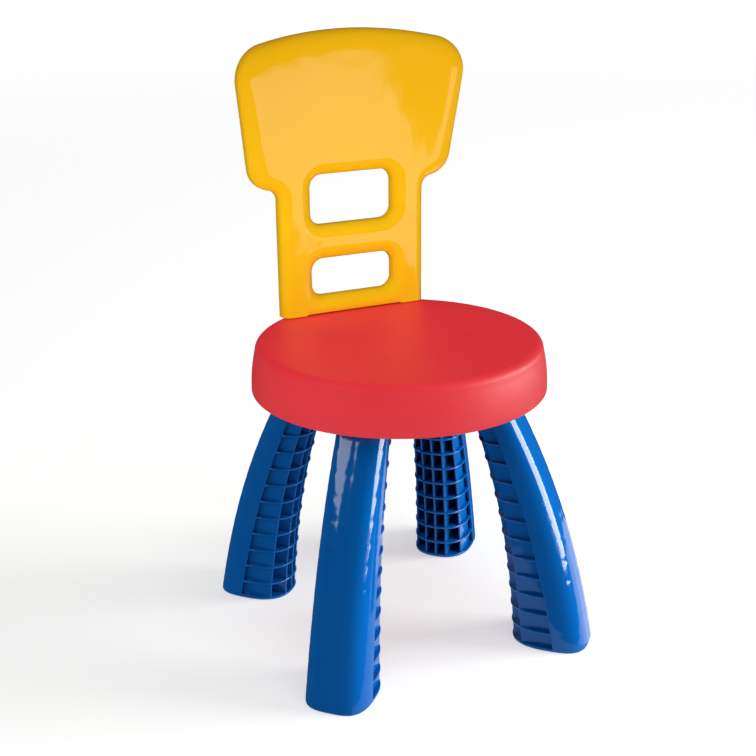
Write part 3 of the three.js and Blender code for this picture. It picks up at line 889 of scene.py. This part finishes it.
class Skin:
    """Collects points and faces of one closed mesh; shared edges are welded at the end."""

    def __init__(self):
        self.verts, self.faces = [], []

    def add(self, points, faces):
        start = len(self.verts)
        self.verts += [tuple(p) for p in points]
        self.faces += [tuple(start + i for i in face) for face in faces]

    def strip(self, a, b, closed):
        count = len(a)
        turns = count if closed else count - 1
        quads = [(i, (i + 1) % count, count + (i + 1) % count, count + i) for i in range(turns)]
        self.add(np.vstack([a, b]), quads)

    def build(self, name):
        return make_object(name, self.verts, self.faces)


def grid_points(low, high, step):
    xs = np.arange(low[0], high[0] + step / 2, step)
    zs = np.arange(low[1], high[1] + step / 2, step)
    return np.array([(x, z) for x in xs for z in zs])


def backrest_shell():
    bottom = SEAT_TOP + GAP
    outer, outer_n, outer_roll = back_outline(bottom)
    windows = [window_outline(w) for w in (UPPER_WINDOW, LOWER_WINDOW)]
    skin = Skin()

    def place(points, y):
        return np.column_stack([points[:, 0], y, points[:, 1]])

    def front_y(points, extra=0.0):
        return middle_plane(*points.T) - BACK_THICKNESS / 2 + bar_roll(points, bottom) + extra

    def rear_y(points):
        return middle_plane(*points.T) + BACK_THICKNESS / 2

    angles = np.radians(np.linspace(0, 90, ROLL_STEPS))
    fillet_insets = 1 - np.cos(angles)
    fillet_depths = ROLL_DEPTH * (1 - np.sin(angles))
    edges = [(outer, outer_n, outer_roll, -1, False)] + [(p, n, r, 1, True) for p, n, r in windows]
    rims = []
    for points, normal, roll, side, closed in edges:
        loops = []
        for inset, depth in zip(fillet_insets, fillet_depths):
            at = points + side * normal * (roll * inset)[:, None]
            loops.append(place(at, front_y(at, depth)))
        for a, b in zip(loops, loops[1:]):
            skin.strip(a, b, closed)
        walls = [loops[0], place(points, rear_y(points) - REAR_ROUNDING)]
        for draw_in, short in QUARTER[1:]:
            at = points + side * normal * REAR_ROUNDING * draw_in
            walls.append(place(at, rear_y(at) - REAR_ROUNDING * short))
        for a, b in zip(walls, walls[1:]):
            skin.strip(a, b, closed)
        rims.append((loops[-1], walls[-1]))
        if not closed:
            bottom_left = [loop[0] for loop in walls[::-1]] + [loop[0] for loop in loops[1:]]
            bottom_right = [loop[-1] for loop in loops[::-1]] + [loop[-1] for loop in walls[1:]]

    # the front surface between the rounded edges
    inner = rims[0][0][:, [0, 2]]
    base = base_line(inner, bottom)
    bar_half = BAR_HALF + GRID_MARGIN
    scatter = np.vstack([
        grid_points((-WING_REACH, bottom + GRID_MARGIN), (WING_REACH, ARCH_TOP), FRONT_GRID),
        grid_points((-bar_half, bottom + BAR_GRID / 2), (bar_half, bottom + BAR_ROLL), BAR_GRID)])
    front_loops = [np.vstack([inner, base])] + [rim[0][:, [0, 2]] for rim in rims[1:]]
    flat, faces = filled(front_loops, scatter, FRONT_CLEAR)
    skin.add(place(flat, front_y(flat)), faces)

    # the hollow behind it
    inset_outer = outer - outer_n * WALL
    inset_outer[:, 1] = np.maximum(inset_outer[:, 1], bottom + WALL)
    cavity = np.vstack([inset_outer, base_line(inset_outer, bottom + WALL)])
    cavity_holes = [p + n * WALL for p, n, _ in windows]

    def front_fall(points):
        gap, nearest = edge_distance(points, outer)
        fall = roll_back(gap, outer_roll[nearest])
        for p, _, roll in windows:
            fall = np.maximum(fall, roll_back(edge_distance(points, p)[0], roll[0]))
        return fall

    def floor_y(points):
        return front_y(points) + front_fall(points) + WALL

    rows = []
    for offset in CAVITY_ROWS:
        rows.append(outer - outer_n * (WALL + offset))
        rows += [p + n * (WALL + offset) for p, n, _ in windows if offset < WINDOW_ROWS_REACH]
    rows.append(grid_points((-WING_REACH, bottom + WALL + GRID_MARGIN), (WING_REACH, ARCH_TOP), CAVITY_GRID))
    flat, faces = filled([cavity] + cavity_holes, np.vstack(rows), CAVITY_CLEAR)
    skin.add(place(flat, floor_y(flat)), [f[::-1] for f in faces])
    for loop in [cavity] + cavity_holes:
        skin.strip(place(loop, floor_y(loop)), place(loop, rear_y(loop)), closed=True)

    # the rear rims, and the flat underside
    rear_outer = rims[0][1][:, [0, 2]]
    rear_base = base_line(rear_outer, bottom)
    rear_loop = np.vstack([rear_outer, rear_base])
    skin.strip(place(rear_loop, rear_y(rear_loop)), place(cavity, rear_y(cavity)), closed=True)
    for (_, wall), hole in zip(rims[1:], cavity_holes):
        skin.strip(wall, place(hole, rear_y(hole)), closed=True)
    front_base = place(base, front_y(base))
    under = bottom_left + list(front_base[::-1]) + bottom_right + list(place(rear_base, rear_y(rear_base)))
    skin.add(under, [tuple(range(len(under)))])
    return skin.build("backrest"), floor_y


def back_rib(start, end, floor_y, steps):
    """A plate on the hollow's floor between two points of the front view, level with the rear rim."""
    start, end = np.array(start, float), np.array(end, float)
    along = (end - start) / np.hypot(*(end - start))
    across = np.array([along[1], -along[0]]) * BACK_RIB_WALL / 2
    loops = []
    for share in np.linspace(0, 1, steps):
        at = start + (end - start) * share
        deep = floor_y(at[None, :])[0] - WALL / 2
        rear = middle_plane(*at) + BACK_THICKNESS / 2 - BACK_RIB_INSET
        soft = rear - BACK_RIB_ROUNDING
        loop = []
        for side, y in ((1, deep), (1, soft), (0.5, rear), (-0.5, rear), (-1, soft), (-1, deep)):
            x, z = at + across * side
            loop.append((x, y, z))
        loops.append(np.array(loop))
    return make_object("rib", *loft(loops))


def back_rib_lines(bottom):
    """Where the ribs run in the front view: start, end and number of steps."""
    base, panel_low = bottom + RIB_ROOT, PANEL_LOW_CENTRE[1] - PANEL_LOW_RADIUS + 1.0
    over_window = UPPER_WINDOW[1] + RIB_ROOT
    lines = []
    for x in PANEL_RIBS_X:
        top = ARCH_TOP - ARCH_RADIUS + sqrt(ARCH_RADIUS ** 2 - x * x) - RIB_END
        low = over_window if abs(x) < NECK_HALF - OVER_WINDOW else panel_low
        lines.append(((x, low), (x, top), 40))
    for z in PANEL_RIBS_Z:
        flare = (z - PANEL_LOW_CENTRE[1]) * tan(PANEL_FLARE)
        half = PANEL_LOW_CENTRE[0] + PANEL_LOW_RADIUS + flare - RIB_END
        lines.append(((-half, z), (half, z), 60))
    for x in NECK_RIBS_X:
        spans = [(base, LOWER_WINDOW[0] - RIB_ROOT), (LOWER_WINDOW[1] + RIB_ROOT, UPPER_WINDOW[0] - RIB_ROOT)]
        if x:
            spans = [(base, POST_RIBS_Z[0])]
        lines += [((x, low), (x, high), 24) for low, high in spans]
    for z in POST_RIBS_Z:
        for side in (-1, 1):
            lines.append(((side * (WINDOW_HALF + POST_RIB_START), z), (side * (NECK_HALF - RIB_END), z), 10))
    return lines


def backrest():
    body, floor_y = backrest_shell()
    bottom = SEAT_TOP + GAP
    join(body, *[back_rib(start, end, floor_y, steps) for start, end, steps in back_rib_lines(bottom)])
    for half, lift in ((NECK_HALF + OVERLAP, POST_LIFT), (BAR_HALF, BAR_LIFT)):
        cut(body, block((-half, half), (BACK_MIDDLE - BACK_THICKNESS, BACK_REAR + OVERLAP),
                        (bottom - TONGUE_ROOT, bottom + lift)))
    for side in (-1, 1):
        tongue = block(*tongue_box(side, 0), (TONGUE_END, bottom + TONGUE_ROOT), SOCKET_ROUNDING)
        hole = rod(*tongue_centre(side), PILOT_HOLE, TONGUE_END - OVERLAP, BACK_SCREW_TIP + PILOT_EXTRA)
        join(body, cut(tongue, hole))
    return body


# ---- materials
def node(tree, kind, **values):
    made = tree.nodes.new(kind)
    for key, value in values.items():
        if hasattr(made, key):
            setattr(made, key, value)
        else:
            made.inputs[key.replace("_", " ")].default_value = value
    return made


def wire(output, socket):
    output.id_data.links.new(output, socket)


def new_material(name):
    """A material, its node tree and its Principled shader."""
    made = bpy.data.materials.new(name)
    made.use_nodes = True
    return made, made.node_tree, made.node_tree.nodes["Principled BSDF"]


def noise_colour(tree, noise, colours, ends):
    """A colour that runs between two, as a noise goes from one end value to the other."""
    ramp = node(tree, "ShaderNodeValToRGB")
    for element, colour, end in zip(ramp.color_ramp.elements, colours, ends):
        element.position = end
        element.color = (*colour, 1)
    wire(noise.outputs["Fac"], ramp.inputs["Fac"])
    return ramp.outputs["Color"]


def noise_value(tree, noise, low, high):
    span = node(tree, "ShaderNodeMapRange", To_Min=low, To_Max=high)
    wire(noise.outputs["Fac"], span.inputs["Value"])
    return span.outputs["Result"]


def plastic(name, colours, roughness, grain_size, grain, wave, wave_scale, specular=0.5):
    """Moulded plastic: a slightly uneven colour, uneven gloss, a fine grain and slow waviness."""
    material, tree, shader = new_material(name)
    place = node(tree, "ShaderNodeTexCoord")
    cloud = node(tree, "ShaderNodeTexNoise", Scale=14.0, Detail=3.0, Roughness=0.55)
    fine = node(tree, "ShaderNodeTexNoise", Scale=grain_size, Detail=2.0, Roughness=0.6)
    slow = node(tree, "ShaderNodeTexNoise", Scale=1.0, Detail=2.0, Roughness=0.4)
    stretch = node(tree, "ShaderNodeMapping", Scale=wave_scale)
    for reader in (stretch, cloud, fine):
        wire(place.outputs["Object"], reader.inputs["Vector"])
    wire(stretch.outputs["Vector"], slow.inputs["Vector"])
    wire(noise_colour(tree, cloud, colours, (0.3, 0.7)), shader.inputs["Base Color"])
    wire(noise_value(tree, fine, *roughness), shader.inputs["Roughness"])
    waves = node(tree, "ShaderNodeBump", Strength=1.0, Distance=wave * MM)
    wire(slow.outputs["Fac"], waves.inputs["Height"])
    grains = node(tree, "ShaderNodeBump", Strength=grain, Distance=GRAIN_DEPTH)
    wire(fine.outputs["Fac"], grains.inputs["Height"])
    wire(waves.outputs["Normal"], grains.inputs["Normal"])
    wire(grains.outputs["Normal"], shader.inputs["Normal"])
    shader.inputs["Specular IOR Level"].default_value = specular
    return material


def zinc_steel():
    material, tree, shader = new_material("zinc_steel")
    place = node(tree, "ShaderNodeTexCoord")
    spots = node(tree, "ShaderNodeTexNoise", Scale=900.0, Detail=4.0)
    wire(place.outputs["Object"], spots.inputs["Vector"])
    greys = ((0.42, 0.43, 0.44), (0.72, 0.73, 0.74))
    wire(noise_colour(tree, spots, greys, (0.0, 1.0)), shader.inputs["Base Color"])
    wire(noise_value(tree, spots, 0.22, 0.42), shader.inputs["Roughness"])
    shader.inputs["Metallic"].default_value = 1.0
    return material


# colours, roughness, size and strength of the grain, height of the waves in mm and how close they are
GRAIN_DEPTH = 0.0003
RED = plastic("red_plastic", ((0.76, 0.030, 0.042), (0.80, 0.033, 0.046)),
              (0.42, 0.52), 2600.0, 0.10, 0.04, (42.0, 42.0, 42.0), specular=0.30)
YELLOW = plastic("yellow_plastic", ((0.86, 0.450, 0.004), (0.89, 0.468, 0.006)),
                 (0.05, 0.09), 2200.0, 0.02, 0.40, (42.0, 42.0, 24.0))
BLUE = plastic("blue_plastic", ((0.0, 0.076, 0.290), (0.0, 0.084, 0.320)),
               (0.06, 0.12), 1800.0, 0.02, 0.30, (50.0, 50.0, 50.0))
STEEL = zinc_steel()

# ---- the chair
finished(seat(), "seat_shell", "seat", "seat", RED)
finished(backrest(), "backrest_panel", "backrest", "backrest", YELLOW)

leg_pattern = leg()
leg_screw_seat = SHOULDER - SHOULDER_WALL - GAP
screw_pattern = screw(LEG_SCREW_TIP - leg_screw_seat)
screw_pattern.data.transform(Matrix.Translation(Vector((EAR_CENTRE, 0, leg_screw_seat)) * MM))
for corner, angle in LEG_ANGLES.items():
    body = f"{corner}_leg"
    made = turned(placed(body, leg_pattern.data.copy()), angle)
    finished(made, f"{corner}_leg_moulding", body, body, BLUE)
    made = turned(placed(body, screw_pattern.data.copy()), angle)
    finished(made, f"{corner}_leg_screw_steel", body, f"{corner}_leg_screw", STEEL)
bpy.data.objects.remove(leg_pattern)
bpy.data.objects.remove(screw_pattern)

back_screw_seat = POCKET_FLOOR - WALL - GAP
for side, word in ((-1, "left"), (1, "right")):
    made = screw(BACK_SCREW_TIP - back_screw_seat)
    made.data.transform(Matrix.Translation(Vector((*tongue_centre(side), back_screw_seat)) * MM))
    finished(made, f"{word}_backrest_screw_steel", "seat", f"{word}_backrest_screw", STEEL)


# ---- floor, lights and camera
def stage_sheet(name, points, height):
    """A flat sheet of the studio, which is no part of the chair."""
    mesh = bpy.data.meshes.new(name)
    mesh.from_pydata([(x, y, height) for x, y in points], [], [tuple(range(len(points)))])
    obj = placed(name, mesh)
    return obj


def radial_ramp(tree, stops):
    """A grey level by distance from the chair, from (metres, level) stops."""
    place = node(tree, "ShaderNodeTexCoord")
    length = node(tree, "ShaderNodeVectorMath", operation="LENGTH")
    wire(place.outputs["Object"], length.inputs[0])
    reach = stops[-1][0]
    share = node(tree, "ShaderNodeMath", operation="DIVIDE")
    share.inputs[1].default_value = reach
    wire(length.outputs["Value"], share.inputs[0])
    ramp = node(tree, "ShaderNodeValToRGB")
    elements = ramp.color_ramp.elements
    while len(elements) < len(stops):
        elements.new(0.5)
    for element, (distance, level) in zip(elements, stops):
        element.position = distance / reach
        element.color = (level, level, level, 1)
    wire(share.outputs[0], ramp.inputs["Fac"])
    return ramp.outputs["Color"]


def floor():
    """A white floor. Glossy plastic doesn't see it: it sees the reflection cards instead."""
    angles = np.linspace(0, 2 * pi, FLOOR_SEGMENTS, endpoint=False)
    corners = [(FLOOR_RADIUS * cos(a), FLOOR_RADIUS * sin(a)) for a in angles]
    obj = stage_sheet("floor", corners, 0.0)
    material, tree, shader = new_material("floor")
    shader.inputs["Base Color"].default_value = FLOOR_COLOUR
    shader.inputs["Roughness"].default_value = 0.9
    shader.inputs["Specular IOR Level"].default_value = 0.0
    shader.inputs["Emission Strength"].default_value = 1.0
    wire(radial_ramp(tree, FLOOR_GLOW), shader.inputs["Emission Color"])
    material.cycles.emission_sampling = "NONE"
    obj.data.materials.append(material)
    obj.visible_glossy = False
    return obj


def reflection_card(name, brightness, points):
    """A white card on the floor that only glossy surfaces see: a lit part of the studio floor."""
    obj = stage_sheet(name, points, CARD_HEIGHT)
    material, tree, _ = new_material(name)
    tree.nodes.clear()
    output = node(tree, "ShaderNodeOutputMaterial")
    glow = node(tree, "ShaderNodeEmission", Strength=brightness)
    wire(glow.outputs[0], output.inputs[0])
    material.cycles.emission_sampling = "NONE"
    obj.data.materials.append(material)
    obj.visible_camera = False
    obj.visible_diffuse = False
    obj.visible_shadow = False


def direction(azimuth, elevation):
    """Unit vector towards a compass angle from +X and a height angle, in degrees."""
    a, e = radians(azimuth), radians(elevation)
    return Vector((cos(a) * cos(e), sin(a) * cos(e), sin(e)))


def group_of(name, members):
    group = bpy.data.collections.new(name)
    for member in members:
        group.objects.link(member)
    return group


def aimed_light(name, kind, place, away, receivers):
    """A light at a place, turned away from a direction, that lights only its receivers."""
    obj = placed(name, bpy.data.lights.new(name, kind))
    obj.location = place
    obj.rotation_mode = "QUATERNION"
    obj.rotation_quaternion = away.to_track_quat("Z", "Y")
    obj.light_linking.receiver_collection = group_of(name, receivers)
    return obj, obj.data


def softbox(name, azimuth, elevation, distance, wide, high, radiance, receivers, glossy=True, diffuse=True,
            blockers=None):
    """A rectangular light; wide and high are the angles it fills, as seen from the chair."""
    away = direction(azimuth, elevation)
    obj, light = aimed_light(name, "AREA", LIGHTS_AIM + away * distance, away, receivers)
    light.shape = "RECTANGLE"
    light.size = 2 * distance * tan(radians(wide / 2))
    light.size_y = 2 * distance * tan(radians(high / 2))
    light.energy = radiance * pi * light.size * light.size_y
    obj.visible_glossy = glossy
    obj.visible_diffuse = diffuse
    if blockers:
        obj.light_linking.blocker_collection = group_of(name + "_blockers", blockers)


def low_spot(name, place, aim, cone, power, receivers):
    """A soft-edged spotlight for the foot of the backrest; it leaves no highlight."""
    obj, light = aimed_light(name, "SPOT", place, Vector(place) - Vector(aim), receivers)
    light.energy = power
    light.color = SPOT_TINT
    light.spot_size = radians(cone)
    light.spot_blend = 1.0
    light.shadow_soft_size = SPOT_SOFTNESS
    obj.visible_glossy = False


def world(diffuse_level, glossy_level, camera_level):
    """A white surround whose brightness depends on what sees it."""
    made = bpy.data.worlds.new("studio")
    made.use_nodes = True
    tree = made.node_tree
    tree.nodes.clear()
    white = (1, 1, 1, 1)
    output = node(tree, "ShaderNodeOutputWorld")
    path = node(tree, "ShaderNodeLightPath")
    last = node(tree, "ShaderNodeBackground", Color=white, Strength=diffuse_level)
    for level, ray in ((glossy_level, "Is Glossy Ray"), (camera_level, "Is Camera Ray")):
        background = node(tree, "ShaderNodeBackground", Color=white, Strength=level)
        mix = node(tree, "ShaderNodeMixShader")
        wire(path.outputs[ray], mix.inputs[0])
        wire(last.outputs[0], mix.inputs[1])
        wire(background.outputs[0], mix.inputs[2])
        last = mix
    wire(last.outputs[0], output.inputs[0])
    made.cycles.sampling_method = "NONE"
    bpy.context.scene.world = made


def camera():
    a, e = CAMERA_AZIMUTH, CAMERA_ELEVATION
    back = Vector((sin(a) * cos(e), -cos(a) * cos(e), sin(e)))
    right = Vector((cos(a), sin(a), 0))
    up = back.cross(right)
    tilted_right = right * cos(CAMERA_ROLL) + up * sin(CAMERA_ROLL)
    tilted_up = up * cos(CAMERA_ROLL) - right * sin(CAMERA_ROLL)
    data = bpy.data.cameras.new("camera")
    data.sensor_width = SENSOR_WIDTH
    data.lens = CAMERA_LENS
    data.clip_start, data.clip_end = CLIP_NEAR, CLIP_FAR
    obj = placed("camera", data)
    turn = Matrix((tilted_right, tilted_up, back)).transposed().to_4x4()
    obj.matrix_world = Matrix.Translation((CAMERA_TARGET + back * CAMERA_DISTANCE) * MM) @ turn
    bpy.context.scene.camera = obj


ground = floor()
for card, (brightness, corners) in CARDS.items():
    reflection_card(card, brightness, corners)
world(SKY_DIFFUSE, SKY_GLOSSY, SKY_CAMERA)
legs_and_screws = [obj for obj in bpy.data.objects if obj.name.endswith(("_moulding", "_steel"))]
yellow = bpy.data.objects["backrest_panel"]
red = bpy.data.objects["seat_shell"]
# azimuth, elevation, distance, the two angles that it fills, radiance, and what it lights
softbox("key_on_legs", -35, 14, 3.0, 44, 48, 12.0, legs_and_screws)
softbox("left_on_legs", 168, 25, 3.0, 60, 21, 4.2, legs_and_screws)
softbox("key_on_seat", -34, 24, 3.0, 44, 34, 3.3, [red])
softbox("key_on_floor", -24, 28, 3.0, 26, 20, 10.0, [ground])
softbox("sheen_on_seat", -22, 6, 3.0, 50, 26, 9.0, [red], diffuse=False)
softbox("left_on_seat", -170, 30, 3.0, 50, 40, 2.0, [red], glossy=False)
softbox("overhead_on_seat", -90, 76, 10.0, 40, 40, 2.5, [red], glossy=False)
softbox("overhead_on_floor", -90, 76, 10.0, 40, 40, 1.5, [ground], glossy=False)
softbox("front_on_backrest", -112, 38, 4.0, 36, 36, 3.4, [yellow], glossy=False)
softbox("under_on_backrest", -110, -35, 2.5, 40, 30, 1.3, [yellow], glossy=False, blockers=[yellow])
softbox("rear_on_backrest", 95, 30, 4.0, 36, 36, 2.6, [yellow], glossy=False)
low_spot("low_spot_on_backrest", (-0.35, -1.05, 0.62), (0, 0.09, 0.31), 20, 33.0, [yellow])
camera()
bpy.context.scene.view_settings.view_transform = "Standard"
